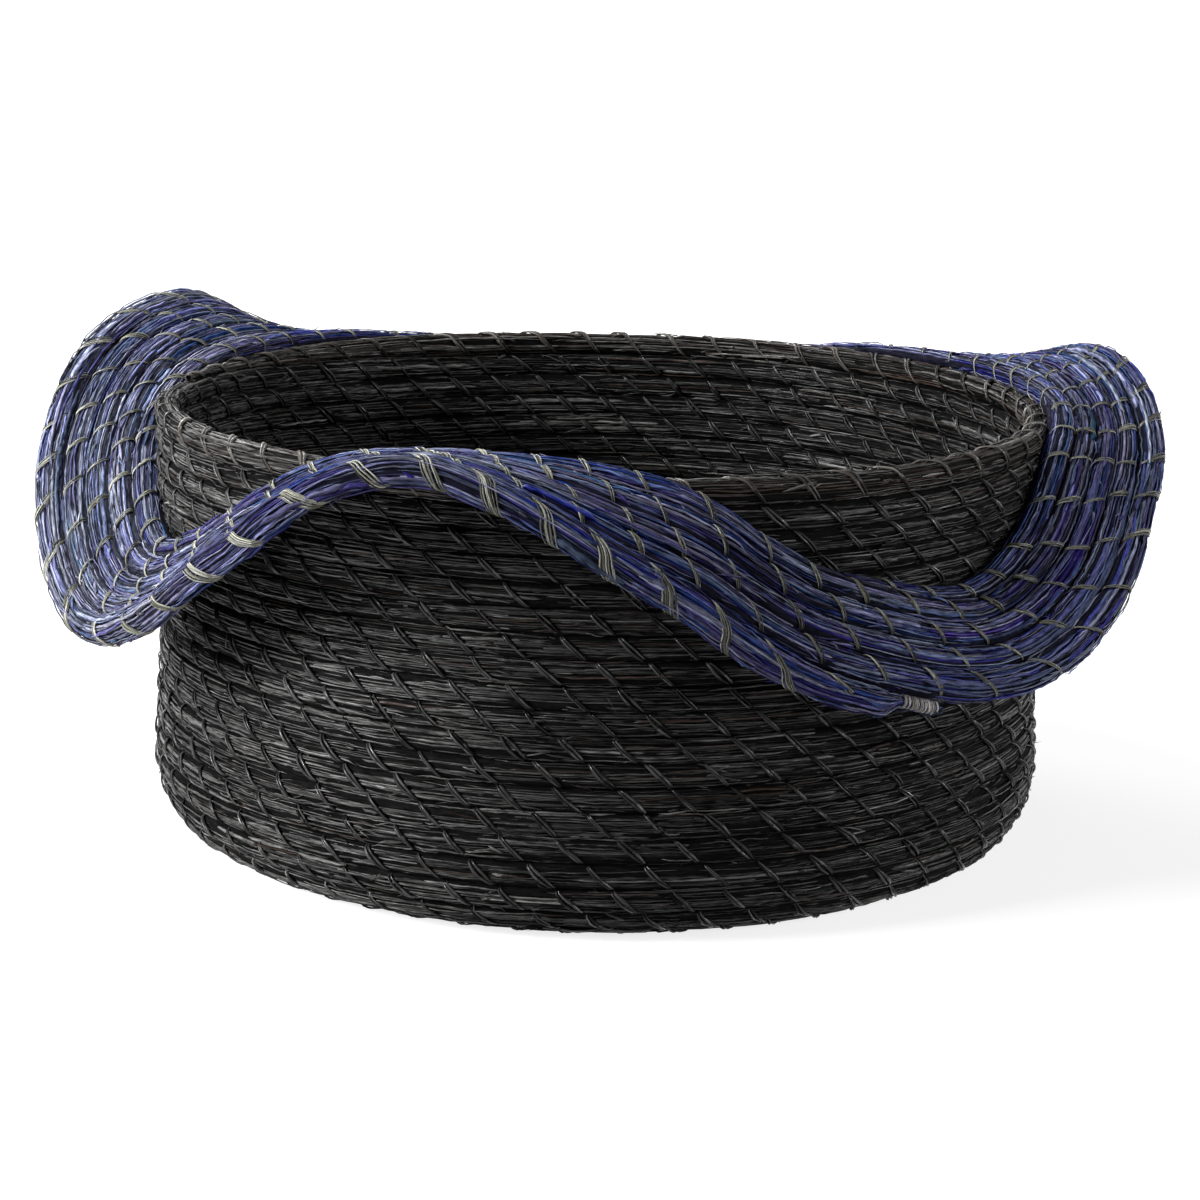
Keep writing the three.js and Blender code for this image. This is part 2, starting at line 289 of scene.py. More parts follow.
def outward(degrees):
    angle = np.radians(degrees)
    return np.stack((np.cos(angle), np.sin(angle), np.zeros_like(angle)), axis=-1)


def bezier(points, count):
    share = np.linspace(0, 1, count)[:, None]
    a, b, c, d = (np.array(point) for point in points)
    rest = 1 - share
    return rest**3 * a + 3 * rest**2 * share * b + 3 * rest * share**2 * c + share**3 * d


def running_length(points):
    """Length along a line from its first point to each of its points."""
    steps = np.linalg.norm(np.diff(points, axis=0), axis=1)
    return np.concatenate(((0,), np.cumsum(steps)))


def wall_outline():
    """Radius and height by distance down from the rim, then straight in along the floor."""
    waist_bottom = np.array((WAIST_RADIUS, WAIST_BOTTOM))
    heel = np.array((HEEL_RADIUS, HEEL_HEIGHT))
    heel_top = heel + unit(heel - waist_bottom) * HEEL_TOP_ROUNDNESS
    floor_level = COIL_DIAMETER / 2
    rim = (RIM_RADIUS, RIM_HEIGHT)
    upper = bezier((rim, (WAIST_RADIUS, WAIST_TOP), waist_bottom, heel), UPPER_POINTS)
    heel_floor = (HEEL_INNER_RADIUS + HEEL_FLOOR_ROUNDNESS, floor_level)
    lower = bezier((heel, heel_top, heel_floor, (HEEL_INNER_RADIUS, floor_level)), LOWER_POINTS)
    points = np.concatenate((upper, lower[1:]))
    lengths = running_length(points)
    points = np.concatenate((points, ((0, floor_level),)))
    return np.append(lengths, lengths[-1] + HEEL_INNER_RADIUS), points, lengths[-1]


OUTLINE_LENGTHS, OUTLINE_POINTS, OUTLINE_LENGTH = wall_outline()
COIL_PITCH = (OUTLINE_LENGTH - FIRST_ROUND_INSET) / (WALL_ROUNDS - 1)


def outline_at(rounds):
    """Radius and height of a round of the black winding: 0 is the wall's lowest round."""
    below_rim = (WALL_ROUNDS - 1 - rounds) * COIL_PITCH
    radius = np.interp(below_rim, OUTLINE_LENGTHS, OUTLINE_POINTS[:, 0])
    height = np.interp(below_rim, OUTLINE_LENGTHS, OUTLINE_POINTS[:, 1]) + np.maximum(-below_rim, 0)
    return radius, height


def wall_radius_at(height):
    side = OUTLINE_POINTS[:UPPER_POINTS]
    return np.interp(height, side[::-1, 1], side[::-1, 0])


def wave_at(stations, degrees):
    """Value at an angle, on a smooth closed curve through the stations."""
    angles = np.array([angle + 360.0 * lap for lap in (-1, 0, 1) for angle, _ in stations])
    values = np.array([float(value) for _ in range(3) for _, value in stations])
    wrapped = stations[0][0] + np.mod(np.asarray(degrees, float) - stations[0][0], 360)
    index = np.searchsorted(angles, wrapped, side="right") - 1
    span = angles[index + 1] - angles[index]
    share = (wrapped - angles[index]) / span
    start, end = values[index], values[index + 1]
    leave = span * (end - values[index - 1]) / (angles[index + 1] - angles[index - 1])
    arrive = span * (values[index + 2] - start) / (angles[index + 2] - angles[index])
    cubed = 2 * (start - end) + leave + arrive
    squared = 3 * (end - start) - 2 * leave - arrive
    return ((cubed * share + squared) * share + leave) * share + start


def straight_lap(degrees, shares):
    """How far along a stitch has moved at each angle round the bundle, in straight crossings."""
    ends = np.radians(degrees)
    angles, places = [ends[:1]], [np.array(shares[:1])]
    for start, end, first, last in zip(ends, ends[1:], shares, shares[1:]):
        angle = np.linspace(start, end, 7)[1:]
        if end - start > CROSSING:
            share = (np.cos(angle) - np.cos(start)) / (np.cos(end) - np.cos(start))
        else:
            share = (angle - start) / (end - start)
        angles.append(angle)
        places.append(first + (last - first) * share)
    return np.concatenate(angles), np.concatenate(places)


class Winding:
    """A winding's middle line, sampled every millimetre, with its stitches."""

    def __init__(self, points, across, half_width, half_depth, turns):
        lengths = running_length(points)
        self.length = lengths[-1]
        count = int(self.length / MM) + 1
        self.step = self.length / (count - 1)
        even = np.arange(count) * self.step
        self.turns = np.interp(even, lengths, turns)
        columns = [points, across, half_width[:, None], half_depth[:, None]]
        table = np.concatenate(columns, axis=1)
        table = np.stack([np.interp(even, lengths, column) for column in table.T], axis=1)
        along = unit(np.gradient(table[:, :3], axis=0))
        side = table[:, 3:6]
        side = unit(side - along * dot(side, along))
        out = np.cross(along, side)
        self.table = np.concatenate((table[:, :3], along, side, out, table[:, 6:8]), axis=1)
        self.stitches = np.array((0.0, self.length))
        self.lap = (0.0, 1.0)

    def distance_at(self, turns):
        return np.interp(turns, self.turns, np.arange(len(self.turns)) * self.step)

    def at(self, distance):
        """Point, direction, way to the next round, way out of the surface, and half sizes."""
        place = np.clip(distance / self.step, 0, len(self.table) - 1.001)
        index = place.astype(np.int64)
        share = (place - index)[..., None]
        row = self.table[index] * (1 - share) + self.table[index + 1] * share
        return row[..., 0:3], row[..., 3:6], row[..., 6:9], row[..., 9:12], row[..., 12], row[..., 13]

    def set_stitches(self, turns, jitter, lap, rng):
        spots = self.distance_at(turns)
        spacing = np.median(np.diff(spots))
        self.stitches = np.sort(spots + rng.normal(0, jitter * spacing, len(spots)))
        self.lap = straight_lap(*lap)

    def lap_at(self, angle):
        angles, shares = self.lap
        start = angles[0]
        return np.interp(np.mod(angle - start, 2 * np.pi) + start, angles, shares)

    def angle_at(self, share):
        angles, shares = self.lap
        start = shares[0]
        turns = np.floor(share - start)
        return np.interp(share - turns, shares, angles) + 2 * np.pi * turns

    def surface(self, distance, angle, cinch):
        """Way out from the middle line to the bundle's surface, with the pull of the stitches."""
        _, _, side, out, half_width, half_depth = self.at(distance)
        cosine, sine = np.cos(angle), np.sin(angle)
        sizes = (np.abs(cosine) ** SQUARENESS + np.abs(sine) ** SQUARENESS) ** (-1 / SQUARENESS)
        phase = np.interp(distance, self.stitches, np.arange(len(self.stitches))) - self.lap_at(angle)
        spacing = np.interp(distance, self.stitches[1:], np.diff(self.stitches))
        away = np.abs(phase - np.round(phase)) * spacing
        pull = 1 - cinch * np.exp(-((away / CINCH_REACH) ** 2)) + CINCH_BULGE * cinch
        reach = (sizes * pull)[..., None]
        sideways = side * (cosine * half_width)[..., None] * reach
        return sideways + out * (sine * half_depth)[..., None] * reach

    def skin(self, distance, angle, cinch):
        """On the bundle's surface: the point, and the ways along, away from it and round it."""
        middle, along, side, out, _, _ = self.at(distance)
        reach = self.surface(distance, angle, cinch)
        round_way = -side * np.sin(angle)[..., None] + out * np.cos(angle)[..., None]
        return middle + reach, along, unit(reach), round_way


def wobble(samples, size, shortest, rng):
    """A smooth random curve made of waves, its samples taken as a millimetre apart."""
    waves = 9
    distance = np.arange(samples) * MM
    total = np.zeros(samples)
    for _ in range(waves):
        wave = shortest * (1 + 5 * rng.random())
        total += np.sin(2 * np.pi * (distance / wave + rng.random()))
    return total * size / math.sqrt(waves / 2)


def black_winding():
    rng = np.random.default_rng(11)
    turns = np.arange(-FLOOR_ROUNDS - FLOOR_START, WALL_ROUNDS - RIM_TAIL_TURNS, TURN_STEP)
    rounds = rounds_passed(turns, WALL_RAMP)
    spiral = np.clip((SPIRAL_FROM - turns) / SPIRAL_BLEND, 0, 1)
    rounds = rounds * (1 - spiral) + (turns + WALL_RAMP / 2) * spiral
    thickness = np.full(len(turns), COIL_DIAMETER / 2)
    tail = turns > WALL_ROUNDS - WALL_RAMP
    risen = rounds - (WALL_ROUNDS - 1)
    gap = COIL_PITCH - COIL_DIAMETER
    thickness[tail] = (COIL_PITCH * (1 - risen[tail]) - gap) / 2
    rounds[tail] = WALL_ROUNDS - 0.5 - (gap / 2 + thickness[tail]) / COIL_PITCH
    start = np.clip((turns + FLOOR_ROUNDS + FLOOR_START) / FLOOR_TIP_TURNS, 0, 1)
    thickness *= FLOOR_TIP_SIZE + (1 - FLOOR_TIP_SIZE) * start
    radius, height = outline_at(rounds)
    inner_radius, inner_height = outline_at(rounds - 0.1)
    out = outward(WALL_START_ANGLE + 360 * turns)
    points = out * radius[:, None] + UP * height[:, None]
    across = unit(out * (radius - inner_radius)[:, None] + UP * (height - inner_height)[:, None])
    swell = 1 + wobble(len(turns), 0.02, 0.03, rng)
    half_width = thickness * COIL_PITCH / COIL_DIAMETER * (0.5 + 0.5 * swell)
    return Winding(points, across, half_width, thickness * swell, turns)


def brim_lines():
    """The brim's surface: lines at even distances outwards, each with its points round the basket."""
    degrees = BRIM_START_ANGLE + np.arange(BRIM_COLUMNS) * 360 / BRIM_COLUMNS
    sagitta = RIM_RADIUS * (1 - math.cos(math.pi / BRIM_STEPS))
    seat = (COIL_DIAMETER + BRIM_DIAMETER) / 2 + sagitta + PIECE_GAP
    rise = CREST_RISE - wave_at(DROPS, degrees) * MM
    height = RIM_HEIGHT + rise
    offset = np.sqrt(seat**2 - np.maximum(rise, 0) ** 2)
    radius = wall_radius_at(np.minimum(height, RIM_HEIGHT)) + offset
    slope = np.radians(wave_at(SLOPES, degrees))[:, None]
    out = outward(degrees)
    leaving = out * np.cos(slope) + UP * np.sin(slope)
    line = out * radius[:, None] + UP * height[:, None]
    lines = [line]
    reach = BRIM_PITCH * BRIM_ROUNDS + OUTER_ROUND_DIAMETER
    for _ in range(int(math.ceil(reach / LINE_SPACING))):
        along = unit(np.roll(line, -1, axis=0) - np.roll(line, 1, axis=0))
        across = unit(leaving - along * dot(leaving, along))
        line = line + across * LINE_SPACING
        lines.append(line)
    return np.array(lines)


def brim_surface(lines, turns, distance):
    """Points of the brim's surface, smooth between its columns."""
    column = np.mod(turns, 1) * BRIM_COLUMNS
    index = np.floor(column).astype(int)
    share = (column - index)[:, None]
    row = np.clip(np.floor(distance / LINE_SPACING).astype(int), 0, len(lines) - 2)
    between = (distance / LINE_SPACING - row)[:, None]
    ends = []
    for level in (row, row + 1):
        columns = [(index + shift) % BRIM_COLUMNS for shift in (-1, 0, 1, 2)]
        before, start, end, after = (lines[level, column] for column in columns)
        bend = 2 * before - 5 * start + 4 * end - after
        cube = -before + 3 * start - 3 * end + after
        ends.append(start + 0.5 * share * (end - before + share * (bend + share * cube)))
    return ends[0] * (1 - between) + ends[1] * between


def brim_round(rounds):
    """Distance out and radius of a round of the brim. The last round is thicker."""
    outer = BRIM_ROUNDS - 1
    swell = np.clip(rounds - outer + 1, 0, 1)
    outer_pitch = (BRIM_DIAMETER + OUTER_ROUND_DIAMETER) / 2 + BRIM_GAP
    distance = np.minimum(rounds, outer - 1) * BRIM_PITCH + swell * outer_pitch
    return distance, (BRIM_DIAMETER + (OUTER_ROUND_DIAMETER - BRIM_DIAMETER) * swell) / 2


def blue_winding():
    rng = np.random.default_rng(23)
    lines = brim_lines()
    tail_start = BRIM_ROUNDS - BRIM_RAMP
    turns = np.arange(-BRIM_TIP_TURNS, tail_start + BRIM_TAIL_TURNS, TURN_STEP)
    rounds = rounds_passed(turns, BRIM_RAMP)
    distance, thickness = brim_round(np.minimum(rounds, BRIM_ROUNDS - 1))
    head = turns < 0
    thickness[head] = (BRIM_PITCH * (rounds[head] + 1) - BRIM_GAP) / 2
    distance[head] = thickness[head] - BRIM_DIAMETER / 2
    tail = turns > tail_start
    share = (turns[tail] - tail_start) / BRIM_TAIL_TURNS
    under, under_radius = brim_round(rounds[tail] - 1)
    narrowing = 0.35 * ease((share - 0.3) / 0.5) + 0.65 * ease((share - 0.76) / 0.09)
    thickness[tail] = (OUTER_ROUND_DIAMETER + (TAIL_DIAMETER - OUTER_ROUND_DIAMETER) * narrowing) / 2
    lift = BRIM_GAP + (TAIL_LIFT - BRIM_GAP) * share
    distance[tail] = under + under_radius + lift + thickness[tail]
    points = brim_surface(lines, turns, distance)
    across = unit(brim_surface(lines, turns, distance + LINE_SPACING) - points)
    swell = 1 + wobble(len(turns), 0.025, 0.03, rng)
    spread = BRIM_PITCH / BRIM_DIAMETER
    return Winding(points, across, thickness * spread, thickness * swell * 0.96, turns)


# Meshes


def new_object(name, data):
    item = bpy.data.objects.new(name, data)
    bpy.context.scene.collection.objects.link(item)
    return item


def make_piece(name, parts, materials, replaced=None):
    """A mesh piece from parts: points, fibre places, faces and a material's number.

    A fibre place is how far along a fibre a point lies, how far across it, and the fibre's own number.
    The basket's weight presses what lies lowest against the floor.
    """
    faces, offset, numbers = [], 0, []
    for part_points, _, part_faces, number in parts:
        for face in part_faces:
            faces.append(face + offset)
            numbers.append(np.full(len(face), number))
        offset += len(part_points)
    points = np.concatenate([part[0] for part in parts])
    height = points[:, 2]
    pressed = PRESSED_BELOW + PRESSED_SHARE * (height - PRESSED_BELOW)
    points[:, 2] = np.where(height < PRESSED_BELOW, pressed, height)
    fibre = np.concatenate([part[1] for part in parts])
    mesh = bpy.data.meshes.new(name)
    mesh.vertices.add(len(points))
    mesh.vertices.foreach_set("co", points.astype(np.float32).ravel())
    corners = np.concatenate([face.ravel() for face in faces]).astype(np.int32)
    sizes = np.concatenate([np.full(len(face), face.shape[1]) for face in faces])
    starts = np.concatenate(((0,), np.cumsum(sizes)[:-1])).astype(np.int32)
    mesh.loops.add(len(corners))
    mesh.loops.foreach_set("vertex_index", corners)
    mesh.polygons.add(len(sizes))
    mesh.polygons.foreach_set("loop_start", starts)
    mesh.polygons.foreach_set("material_index", np.concatenate(numbers).astype(np.int32))
    attribute = mesh.attributes.new("fibre", "FLOAT_VECTOR", "POINT")
    attribute.data.foreach_set("vector", fibre.astype(np.float32).ravel())
    mesh.update(calc_edges=True)
    for material in materials:
        mesh.materials.append(material)
    piece = new_object(name, mesh)
    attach(piece, BODY)
    if replaced:
        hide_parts(replaced)


def prism_faces(strips, rings, sides):
    """Faces of closed prisms: quads round them and a fan at each end."""
    ring = np.arange(rings - 1)[:, None] * sides
    side = np.arange(sides)[None, :]
    following = (side + 1) % sides
    quads = (ring + side, ring + following, ring + following + sides, ring + side + sides)
    quads = np.stack(quads, axis=-1).reshape(-1, 4)
    last = (rings - 1) * sides
    fan = np.arange(1, sides - 1)
    front = np.stack((np.zeros_like(fan), fan + 1, fan), axis=-1)
    back = np.stack((np.full_like(fan, last), last + fan, last + fan + 1), axis=-1)
    caps = np.concatenate((front, back))
    offsets = (np.arange(strips) * rings * sides)[:, None, None]
    return [(quads[None] + offsets).reshape(-1, 4), (caps[None] + offsets).reshape(-1, 3)]


def prisms(points, along, across, number, material=0):
    """A part of closed prisms, from points by strip, ring and side, and their fibre places."""
    fibre = np.zeros(points.shape)
    fibre[..., 0], fibre[..., 1], fibre[..., 2] = along, across, number
    strips = len(points) if points.ndim == 4 else 1
    rings, sides = points.shape[-3:-1]
    return points.reshape(-1, 3), fibre.reshape(-1, 3), prism_faces(strips, rings, sides), material


def blade_prisms(centre, across, upright, half, crest, along, number):
    """Closed blades of three sides along their middle lines: two edges and a crest."""
    points = np.stack((centre - across * half, centre + across * half, centre + upright * crest), axis=-2)
    return prisms(points, along[..., None], BLADE_EDGES, number[..., None])


class Blades:
    """Random blades along a winding: lanes of blades end to end, looser ones on top, and scraps."""

    def __init__(self, winding, settings, rng):
        lanes = settings.blades_around
        mean = settings.blade_length
        starts, lengths, angles, layers = [], [], [], []
        for lane in range(lanes):
            place = -mean * rng.random()
            while place < winding.length:
                length = mean * rng.uniform(0.45, 1.6)
                angle = 2 * np.pi * (lane + rng.uniform(-0.35, 0.35)) / lanes
                starts.append(place)
                lengths.append(length)
                angles.append(angle + 0.2 * math.sin(2 * angle))
                layers.append(TIGHT)
                place += length * 0.97
        extras = (
            (LOOSE, int(len(starts) * LOOSE_SHARE), mean, 0.3, 0.9),
            (SCRAP, int(winding.length / SCRAP_SPACING), MM, 4, 15),
        )
        for layer, count, size, shortest, longest in extras:
            starts.extend(rng.uniform(0, winding.length, count))
            lengths.extend(size * rng.uniform(shortest, longest, count))
            angles.extend(rng.uniform(0, 2 * np.pi, count))
            layers.extend(np.full(count, layer))
        count = len(starts)
        self.start = np.maximum(np.array(starts), 0)
        self.end = np.minimum(np.array(starts) + np.array(lengths), winding.length)
        self.angle = np.array(angles)
        self.layer = np.array(layers)
        self.drift = rng.normal(0, 0.1, count) + self.layer * rng.normal(0, 0.16, count)
        self.wave = rng.normal(0, 0.022, (count, 2))
        self.width = settings.blade_width * np.clip(rng.lognormal(-0.05, 0.5, count), 0.4, 3.2)
        self.thickness = rng.uniform(0.26, 0.5, count) * MM
        self.height = rng.uniform(-1.4, -0.1, count) * MM
        self.height += (self.layer > TIGHT) * rng.uniform(0.4, 0.9, count) * MM
        self.roll = rng.normal(0, 0.3, count)
        lifted = rng.random((count, 2)) < 0.12
        self.lift = np.where(lifted, rng.uniform(0.3, 1.6, (count, 2)), -0.6) * MM
        self.number = rng.random(count)
        self.keep = (self.end - self.start) > SHORTEST_BLADE

    def pick(self, mask):
        chosen = object.__new__(Blades)
        for name, values in self.__dict__.items():
            setattr(chosen, name, values[mask])
        return chosen


def blade_mesh(winding, blades, cinch, rings):
    """Blades laid along a bundle's surface, each tapered to its ends."""
    share = np.linspace(0, 1, rings)[None, :]
    number = blades.number[:, None]
    length = (blades.end - blades.start)[:, None]
    distance = blades.start[:, None] + length * share
    angle = blades.angle[:, None] + blades.drift[:, None] * (share - 0.5)
    for size, (spacing, shift) in zip(blades.wave.T, BLADE_WAVES):
        angle = angle + size[:, None] * np.sin(2 * np.pi * (distance / spacing + shift * number))
    surface, _, away, round_way = winding.skin(distance, angle, cinch)
    crumple = np.random.default_rng(len(length)).normal(0, 1, (2, len(length), rings))[1]
    ends = np.stack((1 - share / 0.12, (share - 0.88) / 0.12), axis=-1)
    ends = np.clip(ends, 0, 1) ** 2
    lift = (ends * blades.lift[:, None, :]).sum(axis=-1)
    rise = blades.height[:, None] + lift + 0.1 * MM * crumple
    roll = (blades.roll[:, None] + 0.15 * np.sin(9 * share + 40 * number))[..., None]
    across = np.cos(roll) * round_way + np.sin(roll) * away
    upright = np.cos(roll) * away - np.sin(roll) * round_way
    taper = np.clip(np.minimum(share, 1 - share) / 0.1, 0.22, 1)
    half = (blades.width[:, None] * taper / 2)[..., None]
    crest = (blades.thickness[:, None] * taper)[..., None]
    centre = surface + away * rise[..., None]
    return blade_prisms(centre, across, upright, half, crest, distance, number)


def angles_round(sides):
    return np.linspace(0, 2 * np.pi, sides, endpoint=False)


def core_mesh(winding, start, end, cinch, wall_side):
    """The inside of a bundle. It reaches to the rounds beside it, so that no light comes through."""
    rings = int((end - start) / CORE_SPACING) + 2
    distance, angle = np.meshgrid(np.linspace(start, end, rings), angles_round(CORE_SIDES), indexing="ij")
    middle, _, side, _, half_width, _ = winding.at(distance)
    points = middle + winding.surface(distance, angle, cinch) * CORE_DEPTH
    turns = np.interp(distance, np.arange(len(winding.turns)) * winding.step, winding.turns)
    drop = wave_at(DROPS, BRIM_START_ANGLE + 360 * turns)
    after = turns < winding.turns[-1] - 1
    under = np.clip((drop - 3) / 4, 0, 1) * (np.sin(angle) > 0.3)
    beside = np.clip((drop + 0.5) / 1.5, 0, 1) * np.clip((8 - drop) / 2, 0, 1) * (np.sin(angle) > -0.1)
    before = np.where(turns > winding.turns[0] + 1, 1, wall_side * np.maximum(under, beside))
    touching = np.cos(angle) * np.where(np.cos(angle) > 0, after, before)
    points = points + side * (touching * half_width * (CORE_REACH - CORE_DEPTH))[..., None]
    return prisms(points, distance, angle / (2 * np.pi) * CORE_SIDES, 0.5, 1)


def floor_heart():
    """The dense middle of the floor, where the spiral starts."""
    circle = outward(np.degrees(angles_round(CORE_SIDES)))
    rings = [circle * radius + (0, 0, height) for radius, height in np.array(HEART_OUTLINE) * MM]
    return prisms(np.array(rings), 0.5, 0.5, 0.5, 1)


def make_rows(
    name, winding, blades, cinch, span, materials, replaced,
    rings=13, wall_side=0.0, more=(),
):
    """A piece of a bundle: its core, and the blades that start in the span."""
    start, end = span
    inside = blades.keep & (blades.start >= start - 1e-9) & (blades.start < end)
    scrap = blades.layer == SCRAP
    parts = [
        core_mesh(winding, start, end, cinch, wall_side),
        blade_mesh(winding, blades.pick(inside & ~scrap), cinch, rings),
        blade_mesh(winding, blades.pick(inside & scrap), cinch, SCRAP_RINGS),
        *more,
    ]
    make_piece(name, parts, materials, replaced)


def strand_mesh(
    winding, span, strands, width, cinch, rng,
    steps=18, thickness=0.6 * MM, lift=0.3 * MM, narrow=0.4, over_top=False,
):
    """Strands side by side, wound round the bundle from one stitch to another."""
    first, last = span
    rings = int((last - first) * steps) + 1
    phase = np.linspace(first, last, rings)
    distance = np.interp(phase, np.arange(len(winding.stitches)), winding.stitches)
    angle = winding.angle_at(phase)
    surface, _, away, _ = winding.skin(distance, angle, cinch)
    face = np.abs(np.cos(angle / 2) if over_top else np.sin(angle))[:, None]
    path = surface + away * (lift - (1 - face) * 0.9 * MM)
    along = unit(np.gradient(path, axis=0))
    across = unit(np.cross(along, away))
    knots = np.arange(int(2 * first) - 1, int(2 * last) + 3) / 2
    size = np.interp(phase, knots, rng.uniform(0.7, 1.35, len(knots)))[:, None]
    lean = np.interp(phase, knots, rng.normal(0, 0.25, len(knots)))[:, None]
    spread = width * size * (narrow + (1 - narrow) * face**1.5)
    parts = []
    for strand in range(strands):
        place = (strand + 0.5) / strands - 0.5
        sway = np.interp(phase, knots, rng.normal(0, 0.12, len(knots)))[:, None]
        height = rng.uniform(0, 0.25) * MM
        centre = path + across * spread * (place + sway) + away * (height + lean * place * MM)
        half = spread / strands * 0.62
        crest = thickness * (0.8 + 0.4 * rng.random())
        number = np.mod(0.37 * strand + 0.61 * np.floor(phase * 2) / 2, 1)
        parts.append(blade_prisms(centre, across, away, half, crest, distance, number))
    return parts


def stray_mesh(winding, start, end, count, rng, cinch):
    """Short fibre ends that stand off the bundle."""
    rings, each = 6, (count, 1, 1)
    distance = rng.uniform(start, end, (count, 1))
    angle = rng.uniform(0, 2 * np.pi, (count, 1))
    surface, along, away, round_way = winding.skin(distance, angle, cinch)
    way = rng.choice((-1.0, 1.0), each) * along
    way = unit(way + away * rng.uniform(0.15, 0.9, each) + round_way * rng.normal(0, 0.4, each))
    curl = rng.normal(0, 0.25, each) * round_way - rng.uniform(0, 0.5, each) * away
    share = np.linspace(0, 1, rings)[:, None]
    length = STRAY_LENGTH * rng.uniform(0.25, 1, each) ** 1.5
    centre = surface - away * 0.4 * MM + (way * share + curl * share**2) * length
    across = unit(np.cross(way, away))
    upright = unit(np.cross(across, way))
    half = rng.uniform(0.1, 0.3, each) * MM * (1.15 - share)
    return blade_prisms(
        centre, across, upright, half, half, distance + np.arange(rings) * MM, rng.random((count, 1)),
    )


# Materials


def new_group(name, inputs, outputs):
    group = bpy.data.node_groups.new(name, "ShaderNodeTree")
    for label, kind, value in inputs:
        socket = group.interface.new_socket(name=label, in_out="INPUT", socket_type="NodeSocket" + kind)
        socket.default_value = value
    for label, kind in outputs:
        group.interface.new_socket(name=label, in_out="OUTPUT", socket_type="NodeSocket" + kind)
    return group, group.nodes.new("NodeGroupInput").outputs, group.nodes.new("NodeGroupOutput").inputs


def set_inputs(tree, node, values):
    """Links or sets a node's inputs, by name or number."""
    for key, value in values.items():
        if isinstance(value, bpy.types.NodeSocket):
            tree.links.new(value, node.inputs[key])
        else:
            node.inputs[key].default_value = value


def node_in(tree, kind, values=None, **settings):
    node = tree.nodes.new("ShaderNode" + kind)
    for name, value in settings.items():
        setattr(node, name, value)
    set_inputs(tree, node, values or {})
    return node


def math_node(tree, operation, first, second=0.0, third=0.0, clamp=False):
    links = {0: first, 1: second, 2: third}
    return node_in(tree, "Math", links, operation=operation, use_clamp=clamp).outputs[0]


def ranged(tree, value, low, high, start=0.0, end=1.0, **settings):
    """Takes a value from the range start to end into the range low to high."""
    links = {0: value, 1: start, 2: end, 3: low, 4: high}
    return node_in(tree, "MapRange", links, **settings).outputs[0]


def mixed(tree, factor, first, second):
    return node_in(tree, "Mix", {0: factor, 6: first, 7: second}, data_type="RGBA").outputs[2]


def group_node(tree, group, links):
    return node_in(tree, "Group", links, node_tree=group).outputs


def fibre_grain_group():
    """Fine streaks along each blade or strand, and a number of its own for each."""
    group, given, result = new_group(
        "Fibre Grain", [("Fineness", "Float", 6.0)], [("Streaks", "Float"), ("Number", "Float")],
    )
    fibre = node_in(group, "Attribute", attribute_name="fibre").outputs["Vector"]
    parts = node_in(group, "SeparateXYZ", {0: fibre}).outputs
    along = math_node(group, "MULTIPLY", parts[0], 200.0)
    across = math_node(group, "MULTIPLY", parts[1], given["Fineness"])
    own = math_node(group, "MULTIPLY", parts[2], 97.0)
    place = node_in(group, "CombineXYZ", {0: along, 1: across, 2: own}).outputs[0]
    noise = {"Vector": place, "Scale": 1.0, "Detail": 3.0, "Roughness": 0.6}
    streaks = node_in(group, "TexNoise", noise).outputs[0]
    group.links.new(ranged(group, streaks, 0.0, 1.0, 0.3, 0.7), result["Streaks"])
    group.links.new(parts[2], result["Number"])
    return group


def painted_light_group():
    """Painted highlight: broad uneven pale patches, most towards -X, where the key lamp shines, and least at
    the back.
    """
    group, given, result = new_group(
        "Lit Side Paleness",
        [("Light Start", "Float", BLACK_LIT_SIDE[0]), ("Light End", "Float", BLACK_LIT_SIDE[1])],
        [("Painted Light", "Float")],
    )
    place = node_in(group, "TexCoord").outputs["Object"]
    noise = {"Vector": place, "Scale": 14.0, "Detail": 6.0, "Roughness": 0.68}
    mask = ranged(group, node_in(group, "TexNoise", noise).outputs[0], 0.0, 1.0, 0.42, 0.68)
    sides = node_in(group, "SeparateXYZ", {0: place}).outputs
    reach = (given["Light Start"], given["Light End"])
    # Painted light: paler towards -X, the side the key lamp lights, less towards the back, broken up by
    # noise
    lit_share = ranged(group, sides[0], 0.0, 1.0, *reach, interpolation_type="SMOOTHSTEP")
    less_at_back = ranged(group, sides[1], 1.0, 0.3, 0.02, 0.15)
    uneven = math_node(group, "MULTIPLY_ADD", mask, 0.6, 0.4)
    lit_share = math_node(group, "MULTIPLY", lit_share, less_at_back)
    group.links.new(math_node(group, "MULTIPLY", lit_share, uneven), result["Painted Light"])
    return group


def own_number(group, number, factor):
    """Another number of a blade's own, between 0 and 1, from its first one."""
    return math_node(group, "FRACT", math_node(group, "MULTIPLY", number, factor))


